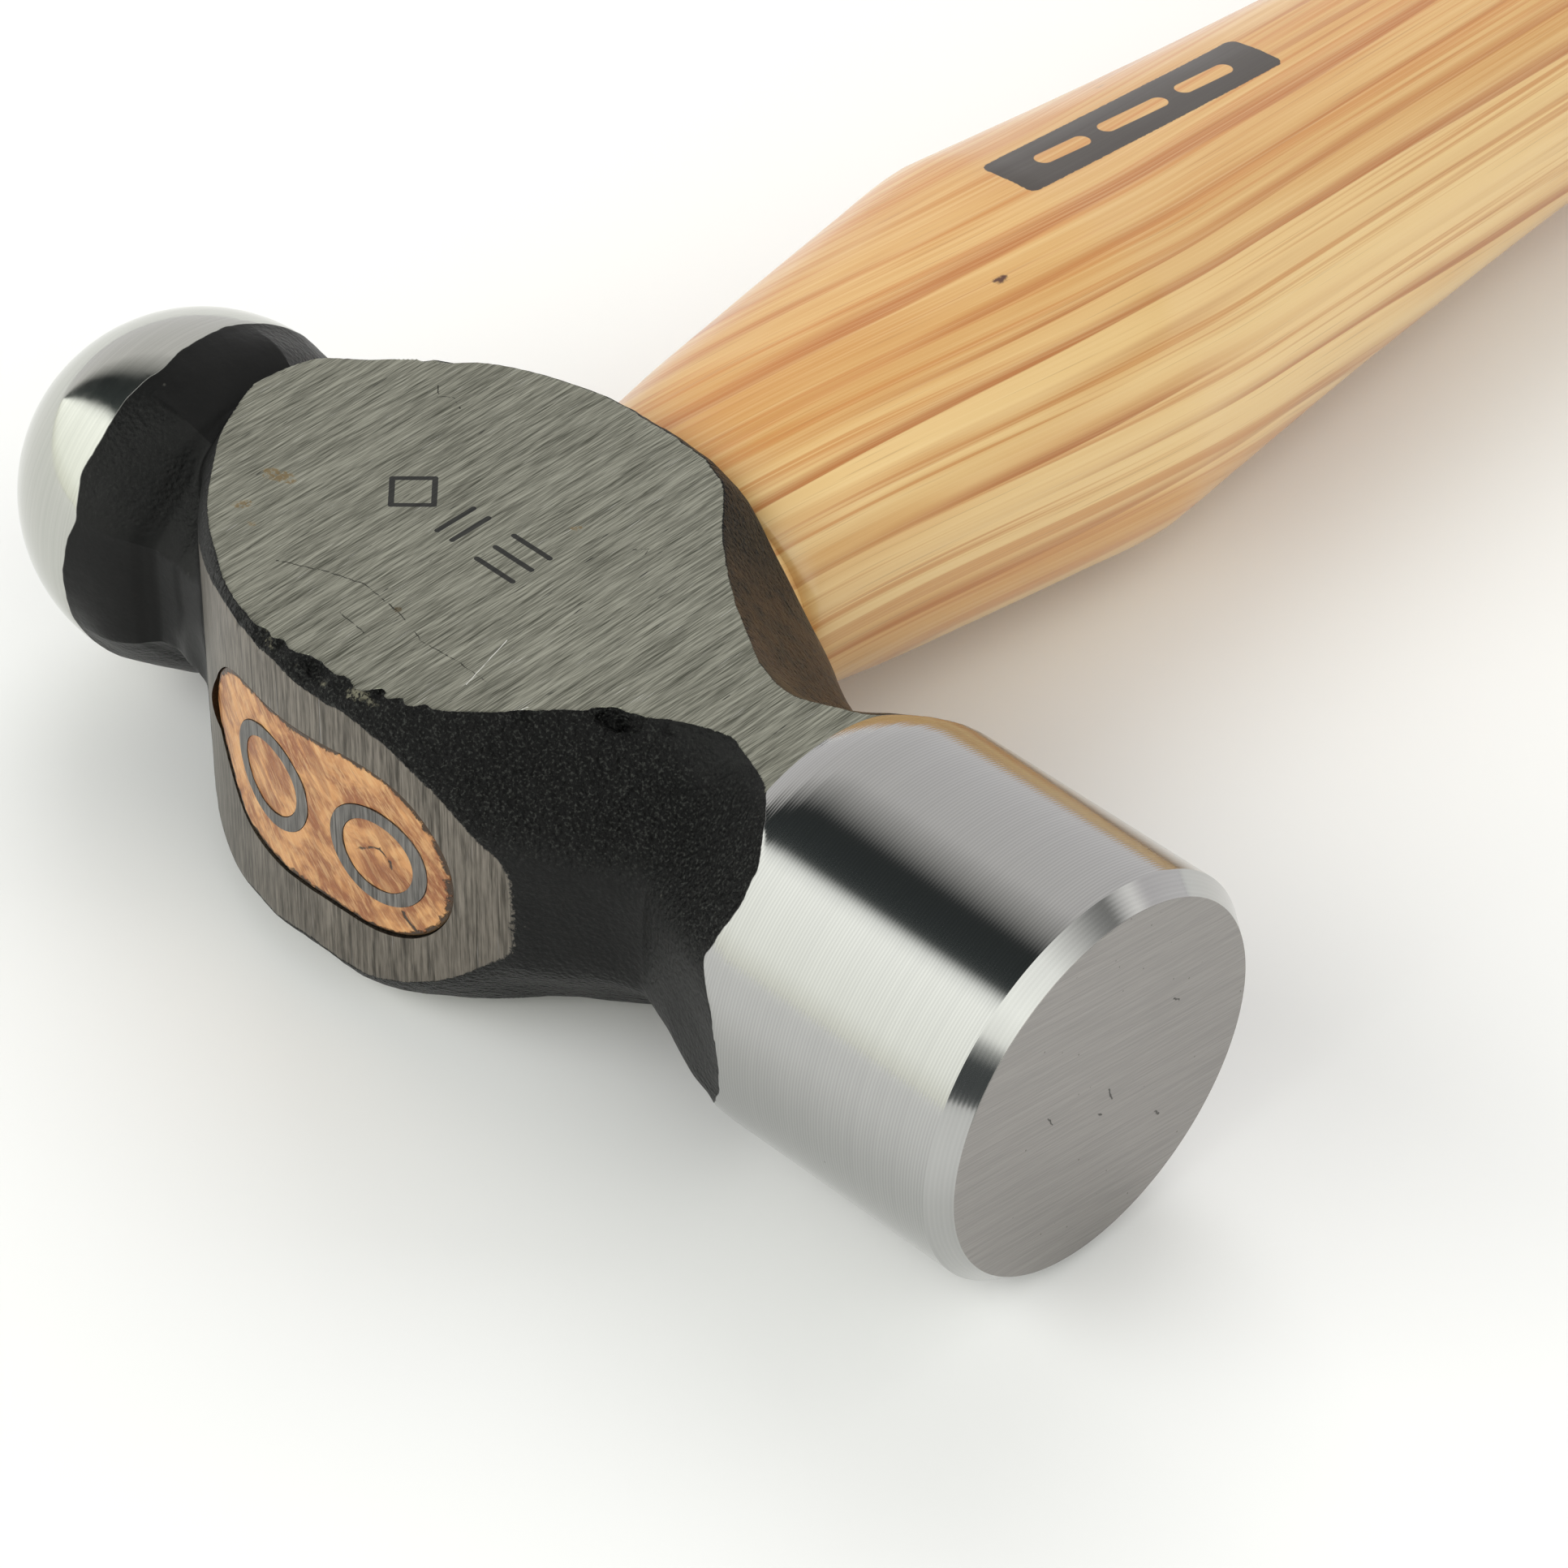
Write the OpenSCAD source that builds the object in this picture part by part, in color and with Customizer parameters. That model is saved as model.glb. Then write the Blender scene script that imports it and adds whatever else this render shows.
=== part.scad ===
// Ball peen hammer: a forged steel head on a wooden handle, lying on its side.
// X runs along the head, from the ball (-X) to the striking face (+X).
// Y runs along the handle, from the ground top of the head (-Y) to the butt (+Y).
// Z is square to the two flat cheeks. The origin is the middle of the eye.

/* [Poll and striking face] */
// Radius of the turned poll
poll_r = 17.5; // [16:0.5:19]
// Eye centre to the striking face
face_x = 64.6; // [60:0.2:72]
// Length of the bevel around the face, along the head
bevel_len = 1.8; // [0.5:0.1:3]
// Depth of the bevel around the face, towards the axis
bevel_depth = 1.4; // [0.5:0.1:3]
// Eye centre to the place where the neck has flared out to the poll
flare_x = 41.7; // [40:0.1:45]

/* [Neck] */
// Eye centre to the crease at the thinnest place
neck_x = 29.3; // [27:0.1:31]
// Half width across the flats at the crease
neck_r = 13.3; // [12:0.1:14]

/* [Barrel and cheeks] */
// Half thickness of the head between its two flat cheeks
cheek_h = 14.9; // [14:0.1:16]
// Half width of the barrel, eye centre to its ground top
barrel_y = 21.2; // [20:0.1:23]
// Eye centre to the end of the cheek beside the ball
cheek_end_x = 28.3; // [27.5:0.1:29]

/* [Ball] */
// Radius of the ball
ball_r = 15.4; // [14.8:0.1:16.5]
// Eye centre to the ball's centre
ball_x = 35.2; // [34.5:0.1:36]
// Half width across the flats of the neck under the ball
ball_neck_r = 11.8; // [10.5:0.1:12.5]

/* [Eye and wedges] */
// Half length of the eye, along the head
eye_half = 14.7; // [14.4:0.1:15.2]
// Half width of the eye
eye_r = 7.9; // [7.5:0.1:8.6]
// Eye centre to the middle between the two ring wedges, towards the face
ring_mid = 2; // [0:0.1:2.2]
// Half the distance between the two ring wedges
ring_half_gap = 6; // [5.2:0.1:6.2]
// Outer radius of a ring wedge
ring_r = 4.7; // [4.2:0.1:5]
// Wall of a ring wedge at its struck end
ring_wall = 1.3; // [1:0.1:1.6]
// Wall of a ring wedge at its thin end
ring_tip = 0.4; // [0.3:0.1:0.8]
// How deep a ring wedge is driven
ring_depth = 14; // [8:1:18]

/* [Handle] */
// Eye centre to the butt of the handle
butt_y = 362; // [345:1:385]
// Half width at the shoulder that meets the head
shoulder_w = 14.9; // [14.6:0.1:16]
// Half width at the swell just behind the head
swell_w = 19.7; // [18.5:0.1:21]
// Eye centre to the swell
swell_y = 63; // [58:1:68]
// Half width at the slender waist
waist_w = 13.6; // [12:0.1:15]
// Half width at the grip
grip_w = 17; // [15:0.1:18.5]
// Thickness of the handle over its width
handle_flat = 0.86; // [0.8:0.01:0.95]

/* [Hidden] */
$fn = 96;
reach = 60;                       // longer than any cut has to be
lap = 2;                          // how far two arcs of one outline run over each other
face_start = face_x - bevel_len;  // where the bevel begins
barrel_x = 1;                     // crest of the barrel's ground top
left_arc = 31.6;                  // radius of the ground wall towards the ball
right_arc = 53.5;                 // radius of the ground wall towards the poll
crest_x = 3;                      // crest of the slanted facets
crest_d = 24.9;                   // axis to the slanted facets at that crest
facet_left = 48;                  // radius of the slanted facets towards the ball
facet_right = 17.5;               // radius of the slanted facets towards the poll
throat_x = 17.5;                  // where the slanted facets start to run straight
throat_d = 17.2;                  // axis to the slanted facets there
tongue_x = 35.5;                  // where the flat cheek ends under the poll
// The neck's and the cheek's slopes, carried on to the face, where turning cuts them away.
neck_wide = neck_r + (poll_r - neck_r) * (face_x - neck_x) / (flare_x - neck_x);
tongue_wide = cheek_h + (poll_r - cheek_h) * (face_x - tongue_x) / (flare_x - tongue_x);
ball_back = 3.1;                  // ball's centre to the end of its round back
ball_foot = 6.2;                  // ball's centre to the foot of its back
ball_foot_r = ball_neck_r - 0.7;  // the back's foot, sunk inside the neck
ball_back_r = sqrt(ball_r * ball_r - ball_back * ball_back);
ball_cone_r = ball_foot_r + (ball_back_r - ball_foot_r) / (ball_foot - ball_back) * (ball_r + ball_foot);
tenon_x = eye_half - eye_r;       // eye centre to the middle of each round end
shoulder_y = barrel_y + 0.05;     // the handle's shoulder just clears the steel
sides = 32;                       // sides of the handle's sections
dome = 6;                         // length of the rounded butt

// Turns a solid drawn along Z so that it lies along X.
module along_x(x) translate([x, 0, 0]) rotate([0, 90, 0]) children();

// Everything below an arc of radius r that is top high at x_top.
module below_arc(x_top, top, r) translate([x_top, top - r]) {
    circle(r);
    translate([-r, -2 * reach]) square([2 * r, 2 * reach]);
}

// Outline between such an arc and its mirror image, kept from x_from to x_to.
module lens(x_top, top, r, x_from, x_to) intersection() {
    below_arc(x_top, top, r);
    mirror([0, 1]) below_arc(x_top, top, r);
    translate([x_from, -top]) square([x_to - x_from, 2 * top]);
}

// Outline that widens from the crease, reaches the poll at flare_x and runs on past it.
module flare(x_back, back) polygon([
    [x_back, back], [neck_x, neck_r], [face_x, neck_wide],
    [face_x, -neck_wide], [neck_x, -neck_r], [x_back, -back]]);

// The head from above: its ground top and underside.
module plan() {
    lens(barrel_x, barrel_y, left_arc, -cheek_end_x, barrel_x + lap);
    lens(barrel_x, barrel_y, right_arc, barrel_x, neck_x);
    flare(throat_x, neck_r);
}

// The head along a slanted facet.
module slant() {
    lens(crest_x, crest_d, facet_left, -cheek_end_x, crest_x + lap);
    lens(crest_x, crest_d, facet_right, crest_x, throat_x);
    flare(throat_x, throat_d);
}

// The head from the front: flat cheeks, then the poll.
module elevation() polygon([
    [-cheek_end_x, -cheek_h], [tongue_x, -cheek_h], [face_x, -tongue_wide],
    [face_x, tongue_wide], [tongue_x, cheek_h], [-cheek_end_x, cheek_h]]);

// What turning leaves: everything behind the neck, the round poll, and its bevel.
module turned() {
    along_x(-reach) cylinder(r = barrel_y + cheek_h, h = reach + neck_x + 1);
    along_x(neck_x) cylinder(r = poll_r, h = face_start - neck_x);
    along_x(face_start) cylinder(r1 = poll_r, r2 = poll_r - bevel_depth, h = bevel_len);
}

module barrel_and_poll() intersection() {
    turned();
    linear_extrude(2 * reach, center = true) plan();
    rotate([45, 0, 0]) linear_extrude(2 * reach, center = true) slant();
    rotate([-45, 0, 0]) linear_extrude(2 * reach, center = true) slant();
    rotate([90, 0, 0]) linear_extrude(2 * reach, center = true) elevation();
}

// A sphere whose back is cut to a cone that sinks into the eight-sided neck.
module ball() {
    intersection() {
        translate([-ball_x, 0, 0]) sphere(ball_r);
        along_x(-ball_x - ball_r) cylinder(r1 = ball_cone_r, r2 = ball_foot_r, h = ball_r + ball_foot);
    }
    along_x(-ball_x) rotate(22.5) cylinder(r = ball_neck_r / cos(22.5), h = ball_x - tenon_x, $fn = 8);
}

// Everything inside the eye's walls, right through the head.
module eye_bore() rotate([90, 0, 0]) linear_extrude(2 * reach, center = true) {
    for (side = [-1, 1]) translate([side * tenon_x, 0]) circle(eye_r);
    square([2 * tenon_x, 2 * eye_r], center = true);
}

module head() color("dimgray") difference() {
    union() {
        barrel_and_poll();
        ball();
    }
    eye_bore();
}

// Tubular wedge that thins from its struck end, ground flush with the head's top.
module ring_wedge(x) intersection() {
    translate([x, -barrel_y, 0]) rotate([-90, 0, 0]) rotate_extrude() polygon([
        [ring_r - ring_wall, 0], [ring_r, 0], [ring_r, ring_depth], [ring_r - ring_tip, ring_depth]]);
    linear_extrude(2 * reach, center = true) plan();
}

module ring_wedge_face_side() color("slategray") ring_wedge(ring_mid + ring_half_gap);
module ring_wedge_ball_side() color("slategray") ring_wedge(ring_mid - ring_half_gap);

// The handle's stations: distance from the eye, half width, half thickness.
stations = [
    [shoulder_y, shoulder_w, shoulder_w * 0.76],
    [swell_y * 0.5, shoulder_w + (swell_w - shoulder_w) * 0.28, swell_w * 0.67],
    [swell_y - 6, swell_w - 0.7, (swell_w - 0.9) * handle_flat],
    [swell_y, swell_w, swell_w * handle_flat],
    [swell_y + 7, swell_w - 0.7, (swell_w - 0.6) * handle_flat],
    [swell_y + 29, (swell_w + waist_w) * 0.515, (swell_w + waist_w) * 0.515 * handle_flat],
    [swell_y + 60, waist_w + 1.7, (waist_w + 1.7) * handle_flat],
    [butt_y * 0.47, waist_w, waist_w * handle_flat],
    [butt_y * 0.62, waist_w + 0.4, (waist_w + 0.4) * handle_flat],
    [butt_y * 0.84, grip_w - 0.5, (grip_w - 0.5) * handle_flat],
    [butt_y - dome, grip_w, grip_w * handle_flat],
    [butt_y, grip_w, grip_w * handle_flat]];

// Slope of column c at station i, from its neighbours.
function slope(i, c) =
    let (a = max(i - 1, 0), b = min(i + 1, len(stations) - 1))
    (stations[b][c] - stations[a][c]) / (stations[b][0] - stations[a][0]);

// Smooth curve through column c of the stations, at distance y.
function along(y, c, i = 0) =
    i < len(stations) - 2 && y > stations[i + 1][0] ? along(y, c, i + 1)
    : let (h = stations[i + 1][0] - stations[i][0], t = (y - stations[i][0]) / h)
      stations[i][c] * (1 + 2 * t) * (1 - t) * (1 - t) + slope(i, c) * h * t * (1 - t) * (1 - t)
      + stations[i + 1][c] * t * t * (3 - 2 * t) - slope(i + 1, c) * h * t * t * (1 - t);

// One oval section; the butt's last sections close in like a shallow dome.
function rounding(y) =
    y < butt_y - dome ? 1 : 1 - 0.3 * (1 - sqrt(1 - pow((y - butt_y + dome) / dome, 2)));
function section(y) = [for (k = [0 : sides - 1])
    [along(y, 1) * rounding(y) * cos(k * 360 / sides), y,
     along(y, 2) * rounding(y) * sin(k * 360 / sides)]];

body_y = [for (k = [0 : 40]) shoulder_y + (butt_y - dome - shoulder_y) * k / 40];
dome_y = [for (a = [15 : 15 : 90]) butt_y - dome + dome * sin(a)];
rings = concat(body_y, dome_y);

module handle_body() {
    points = [for (y = rings) each section(y)];
    n = len(rings);
    polyhedron(points, concat(
        [[for (k = [sides - 1 : -1 : 0]) k]],
        [[for (k = [0 : sides - 1]) (n - 1) * sides + k]],
        [for (r = [0 : n - 2]) for (k = [0 : sides - 1]) let (m = (k + 1) % sides)
            each [[r * sides + k, (r + 1) * sides + m, (r + 1) * sides + k],
                  [r * sides + k, r * sides + m, (r + 1) * sides + m]]]));
}

// Fills the eye, from the head's ground top to just inside the handle's shoulder.
module tenon() intersection() {
    eye_bore();
    linear_extrude(2 * reach, center = true) {
        plan();
        translate([-eye_half, 0]) square([2 * eye_half, shoulder_y + lap]);
    }
}

module handle() color("burlywood") {
    difference() {
        union() {
            tenon();
            handle_body();
        }
        ring_wedge(ring_mid + ring_half_gap);
        ring_wedge(ring_mid - ring_half_gap);
    }
}

head();
handle();
ring_wedge_face_side();
ring_wedge_ball_side();
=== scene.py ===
import math
import bpy
import numpy as np
from mathutils import Matrix, Vector


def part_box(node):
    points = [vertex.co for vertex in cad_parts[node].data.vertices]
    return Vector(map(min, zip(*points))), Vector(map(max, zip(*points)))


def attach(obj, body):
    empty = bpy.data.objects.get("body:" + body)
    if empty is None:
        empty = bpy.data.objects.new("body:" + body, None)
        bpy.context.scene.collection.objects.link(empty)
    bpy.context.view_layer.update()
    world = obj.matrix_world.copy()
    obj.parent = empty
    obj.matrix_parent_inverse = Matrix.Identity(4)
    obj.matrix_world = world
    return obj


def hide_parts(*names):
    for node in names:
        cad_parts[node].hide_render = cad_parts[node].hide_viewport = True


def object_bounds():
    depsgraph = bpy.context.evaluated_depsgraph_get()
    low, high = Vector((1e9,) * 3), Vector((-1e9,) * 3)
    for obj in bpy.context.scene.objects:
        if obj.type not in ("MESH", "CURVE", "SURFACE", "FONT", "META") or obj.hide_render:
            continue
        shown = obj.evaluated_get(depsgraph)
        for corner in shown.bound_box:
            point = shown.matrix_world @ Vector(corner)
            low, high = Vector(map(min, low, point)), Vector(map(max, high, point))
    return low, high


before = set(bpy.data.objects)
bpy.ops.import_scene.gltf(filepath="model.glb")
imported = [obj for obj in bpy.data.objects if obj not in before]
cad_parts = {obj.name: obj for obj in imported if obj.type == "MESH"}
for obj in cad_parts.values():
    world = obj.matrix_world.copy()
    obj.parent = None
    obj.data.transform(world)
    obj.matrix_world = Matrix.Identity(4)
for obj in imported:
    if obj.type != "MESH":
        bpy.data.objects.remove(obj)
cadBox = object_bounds()
mm = 0.001
headLow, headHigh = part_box("head")
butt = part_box("handle")[1].y / mm


# ---- small helpers: curves, noise and meshes ----

def curveThrough(points):
    # smooth curve that never overshoots its points
    px, py = np.array(points, float).T
    step = np.diff(px)
    rise = np.diff(py) / step
    slope = np.concatenate([[rise[0]], np.zeros(len(px) - 2), [rise[-1]]])
    same = rise[:-1] * rise[1:] > 0
    slope[1:-1][same] = 2 * rise[:-1][same] * rise[1:][same] / (rise[:-1][same] + rise[1:][same])

    def at(x):
        x = np.asarray(x, float)
        k = np.clip(np.searchsorted(px, x) - 1, 0, len(step) - 1)
        t = np.clip((x - px[k]) / step[k], 0, 1)
        return (py[k] * (1 + 2 * t) * (1 - t) ** 2 + slope[k] * step[k] * t * (1 - t) ** 2
                + py[k + 1] * t * t * (3 - 2 * t) - slope[k + 1] * step[k] * t * t * (1 - t))
    return at


def lattice(i, j, k, seed):
    n = (i * 374761393 + j * 668265263 + k * 1440662683 + seed * 982451653) & 0xffffffff
    n = ((n ^ (n >> 13)) * 1274126177) & 0xffffffff
    return ((n ^ (n >> 16)) & 0xffff) / 32767.5 - 1


def lumps(points, size, seed=0):
    # soft random lumps about size across, from -1 to 1
    q = points / size
    cell = np.floor(q).astype(np.int64)
    t = q - cell
    t = t * t * (3 - 2 * t)
    total = 0
    for a in (0, 1):
        for b in (0, 1):
            for c in (0, 1):
                weight = (np.abs(1 - a - t[..., 0]) * np.abs(1 - b - t[..., 1])
                          * np.abs(1 - c - t[..., 2]))
                total = total + weight * lattice(cell[..., 0] + a, cell[..., 1] + b, cell[..., 2] + c, seed)
    return total


def softMin(limits, power):
    return sum(np.maximum(limit, 0.5) ** -power for limit in limits) ** (-1 / power)


def softMax(limits, power):
    return sum(np.maximum(limit, 0.5) ** power for limit in limits) ** (1 / power)


def meshObject(name, points, faces):
    mesh = bpy.data.meshes.new(name)
    mesh.from_pydata(points, [], faces)
    mesh.validate()
    mesh.update()
    piece = bpy.data.objects.new(name, mesh)
    bpy.context.scene.collection.objects.link(piece)
    return piece


def skinRings(name, rings, endA=None, endB=None):
    # closed skin over rings of points; each end closes on one point
    count = len(rings[0])
    points = np.concatenate(rings)
    faces = []
    for r in range(len(rings) - 1):
        a, b = r * count, (r + 1) * count
        faces += [(a + k, b + k, b + (k + 1) % count, a + (k + 1) % count) for k in range(count)]
    last = (len(rings) - 1) * count
    points = np.concatenate([points, [endA, endB]])
    tipA, tipB = len(points) - 2, len(points) - 1
    faces += [(tipA, k, (k + 1) % count) for k in range(count)]
    faces += [(tipB, last + (k + 1) % count, last + k) for k in range(count)]
    return meshObject(name, (points * mm).tolist(), faces)


def cutWith(piece, cutter):
    cut = piece.modifiers.new("cut", "BOOLEAN")
    cut.operation = "DIFFERENCE"
    cut.solver = "MANIFOLD"
    cut.object = cutter
    bpy.context.view_layer.update()
    done = bpy.data.meshes.new_from_object(piece.evaluated_get(bpy.context.evaluated_depsgraph_get()))
    piece.modifiers.remove(cut)
    done.materials.clear()
    old = piece.data
    piece.data = done
    bpy.data.meshes.remove(old)
    bpy.data.objects.remove(cutter)


def pointsOf(piece):
    co = np.zeros(len(piece.data.vertices) * 3)
    piece.data.vertices.foreach_get("co", co)
    return co.reshape(-1, 3) / mm


def storeValue(piece, name, values):
    spot = piece.data.attributes.new(name, "FLOAT", "POINT")
    spot.data.foreach_set("value", np.asarray(values, np.float32))


def smoothExcept(piece, degrees):
    piece.data.shade_smooth()
    piece.data.set_sharp_from_angle(angle=math.radians(degrees))


# ---- camera ----

shot = {"azimuth": 43.27, "elevation": 41.38, "roll": 1.208, "distance": 434.7, "lens": 127.45,
        "aim": (24.31, 7.77, 0)}


def addCamera():
    az, el, roll = (math.radians(shot[k]) for k in ("azimuth", "elevation", "roll"))
    back = Vector((math.sin(az) * math.cos(el), -math.cos(az) * math.cos(el), math.sin(el)))
    right = (-back).cross(Vector((0, 0, 1))).normalized()
    up = right.cross(-back)
    side = right * math.cos(roll) + up * math.sin(roll)
    top = up * math.cos(roll) - right * math.sin(roll)
    place = (Vector(shot["aim"]) + back * shot["distance"]) * mm
    data = bpy.data.cameras.new("camera")
    data.lens = shot["lens"]
    data.sensor_width = 36
    data.clip_start = 0.01
    camera = bpy.data.objects.new("camera", data)
    bpy.context.scene.collection.objects.link(camera)
    camera.matrix_world = Matrix((
        (side.x, top.x, back.x, place.x), (side.y, top.y, back.y, place.y),
        (side.z, top.z, back.z, place.z), (0, 0, 0, 1)))
    bpy.context.scene.camera = camera


addCamera()
print("camera placed")


# ---- shader helpers ----

def feed(tree, socket, value):
    if isinstance(value, bpy.types.NodeSocket):
        tree.links.new(value, socket)
    elif isinstance(value, tuple) and len(value) == 3 and socket.type == "RGBA":
        socket.default_value = (*value, 1)
    else:
        socket.default_value = value


def node(tree, kind, inputs=None, **settings):
    made = tree.nodes.new(kind)
    for name, value in settings.items():
        setattr(made, name, value)
    for name, value in (inputs or {}).items():
        feed(tree, made.inputs[name], value)
    return made


def calc(tree, operation, *values):
    made = node(tree, "ShaderNodeMath", operation=operation)
    for socket, value in zip(made.inputs, values):
        feed(tree, socket, value)
    return made.outputs[0]


def times(tree, first, second):
    return calc(tree, "MULTIPLY", first, second)


def plus(tree, first, second):
    return calc(tree, "ADD", first, second)


def minus(tree, first, second):
    return calc(tree, "SUBTRACT", first, second)


def larger(tree, first, second):
    return calc(tree, "MAXIMUM", first, second)


def blendColour(tree, amount, first, second, how="MIX"):
    made = node(tree, "ShaderNodeMix", data_type="RGBA", blend_type=how)
    feed(tree, made.inputs[0], amount)
    feed(tree, made.inputs[6], first)
    feed(tree, made.inputs[7], second)
    return made.outputs[2]


def blendValue(tree, amount, first, second):
    made = node(tree, "ShaderNodeMix", data_type="FLOAT")
    feed(tree, made.inputs[0], amount)
    feed(tree, made.inputs[2], first)
    feed(tree, made.inputs[3], second)
    return made.outputs[0]


def tint(tree, base, mask, amount, colour):
    return blendColour(tree, times(tree, mask, amount), base, colour)


def fade(tree, value, low, high, out=(0, 1)):
    made = node(tree, "ShaderNodeMapRange", {"Value": value, "From Min": low, "From Max": high,
                                             "To Min": out[0], "To Max": out[1]},
                interpolation_type="SMOOTHSTEP")
    return made.outputs["Result"]


def turnAbout(tree, axis, vector, degrees):
    made = node(tree, "ShaderNodeVectorRotate", {"Vector": vector, "Angle": math.radians(degrees)},
                rotation_type=axis + "_AXIS")
    return made.outputs[0]


def stretch(tree, vector, scale, shift=(0, 0, 0)):
    made = node(tree, "ShaderNodeMapping", {"Vector": vector, "Scale": scale, "Location": shift})
    return made.outputs[0]


def noise(tree, vector, scale, detail=2.0, rough=0.5, shift=(0, 0, 0), distort=0.0):
    # scale is one number, or three where the noise is stretched
    if isinstance(scale, tuple):
        vector, scale = stretch(tree, vector, scale, shift), 1.0
    made = node(tree, "ShaderNodeTexNoise", {"Vector": vector, "Scale": scale, "Detail": detail,
                                             "Roughness": rough, "Distortion": distort})
    return made.outputs[0]


def axes(tree, vector):
    split = node(tree, "ShaderNodeSeparateXYZ", {"Vector": vector})
    return split.outputs[0], split.outputs[1], split.outputs[2]


def stored(tree, name):
    return node(tree, "ShaderNodeAttribute", attribute_name=name).outputs["Fac"]


def newGroup(name, inputs, outputs):
    tree = bpy.data.node_groups.new(name, "ShaderNodeTree")
    for label, kind, value in inputs:
        socket = tree.interface.new_socket(label, in_out="INPUT", socket_type=kind)
        if value is not None:
            socket.default_value = value
    for label, kind in outputs:
        tree.interface.new_socket(label, in_out="OUTPUT", socket_type=kind)
    return tree, tree.nodes.new("NodeGroupInput").outputs, tree.nodes.new("NodeGroupOutput").inputs


def useGroup(tree, group, inputs):
    made = tree.nodes.new("ShaderNodeGroup")
    made.node_tree = group
    for name, value in inputs.items():
        feed(tree, made.inputs[name], value)
    return made.outputs


def newMaterial(name):
    material = bpy.data.materials.new(name)
    material.use_nodes = True
    tree = material.node_tree
    shader = tree.nodes["Principled BSDF"]
    place = node(tree, "ShaderNodeTexCoord").outputs["Object"]
    inMm = node(tree, "ShaderNodeVectorMath", operation="SCALE")
    feed(tree, inMm.inputs[0], place)
    inMm.inputs["Scale"].default_value = 1000
    return material, tree, shader, inMm.outputs[0]


# ---- effects that several materials share; coordinates are in millimetres ----

def makeGrindLines():
    # belt marks: fine lines along local X, with some deeper scratches
    tree, given, out = newGroup("grindLines", [
        ("Coordinates", "NodeSocketVector", None), ("Fineness", "NodeSocketFloat", 1.0)],
        [("Lines", "NodeSocketFloat"), ("Scratches", "NodeSocketFloat")])
    scaled = node(tree, "ShaderNodeVectorMath", operation="SCALE")
    feed(tree, scaled.inputs[0], given["Coordinates"])
    feed(tree, scaled.inputs["Scale"], given["Fineness"])
    fine = noise(tree, scaled.outputs[0], (0.16, 5.5, 5.5), 3.0, 0.7)
    coarse = noise(tree, scaled.outputs[0], (0.06, 2.0, 2.0), 2.0, 0.6, (7, 3, 1))
    askew = turnAbout(tree, "Z", scaled.outputs[0], 7)
    crossed = noise(tree, askew, (0.12, 4.0, 4.0), 2.0, 0.6, (1, 8, 5))
    tone = plus(tree, times(tree, fine, 0.5), times(tree, coarse, 0.25))
    tone = plus(tree, tone, times(tree, crossed, 0.25))
    feed(tree, out["Lines"], tone)
    bright = noise(tree, scaled.outputs[0], (0.16, 9.0, 9.0), 1.0, 0.5, (3, 9, 4))
    feed(tree, out["Scratches"], fade(tree, bright, 0.70, 0.80))
    return tree


def makeSpecks():
    # scattered specks of dirt and rust that break up a clean surface
    tree, given, out = newGroup("specks", [
        ("Coordinates", "NodeSocketVector", None), ("Spacing", "NodeSocketFloat", 3.0),
        ("Amount", "NodeSocketFloat", 0.2)], [("Mask", "NodeSocketFloat")])
    scale = calc(tree, "DIVIDE", 1.0, given["Spacing"])
    cells = node(tree, "ShaderNodeTexVoronoi", {"Vector": given["Coordinates"], "Scale": scale})
    wanted = calc(tree, "LESS_THAN", node(tree, "ShaderNodeSeparateColor", {
        "Color": cells.outputs["Color"]}).outputs[0], given["Amount"])
    ragged = noise(tree, given["Coordinates"], 3.5, 3.0, 0.6)
    near = plus(tree, cells.outputs["Distance"], times(tree, ragged, 0.12))
    feed(tree, out["Mask"], times(tree, fade(tree, near, 0.13, 0.08), wanted))
    return tree


def makeStroke():
    # one straight mark from Start to End, HalfWidth either side of the line
    tree, given, out = newGroup("stroke", [
        ("Coordinates", "NodeSocketVector", None), ("Start", "NodeSocketVector", None),
        ("End", "NodeSocketVector", None), ("HalfWidth", "NodeSocketFloat", 0.1),
        ("Softness", "NodeSocketFloat", 0.05)], [("Mask", "NodeSocketFloat")])

    def vector(operation, first, second, result=0):
        made = node(tree, "ShaderNodeVectorMath", operation=operation)
        feed(tree, made.inputs[0], first)
        if second is not None:
            feed(tree, made.inputs["Scale" if operation == "SCALE" else 1], second)
        return made.outputs[result]

    away = vector("SUBTRACT", given["Coordinates"], given["Start"])
    line = vector("SUBTRACT", given["End"], given["Start"])
    share = calc(tree, "DIVIDE", vector("DOT_PRODUCT", away, line, 1), vector("DOT_PRODUCT", line, line, 1))
    share = node(tree, "ShaderNodeClamp", {"Value": share}).outputs[0]
    gap = vector("LENGTH", vector("SUBTRACT", away, vector("SCALE", line, share)), None, 1)
    made = node(tree, "ShaderNodeMapRange", {
        "Value": minus(tree, gap, given["HalfWidth"]), "From Min": given["Softness"],
        "From Max": 0.0}, interpolation_type="SMOOTHSTEP")
    feed(tree, out["Mask"], made.outputs["Result"])
    return tree


grindLines = makeGrindLines()
specks = makeSpecks()
stroke = makeStroke()


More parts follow.
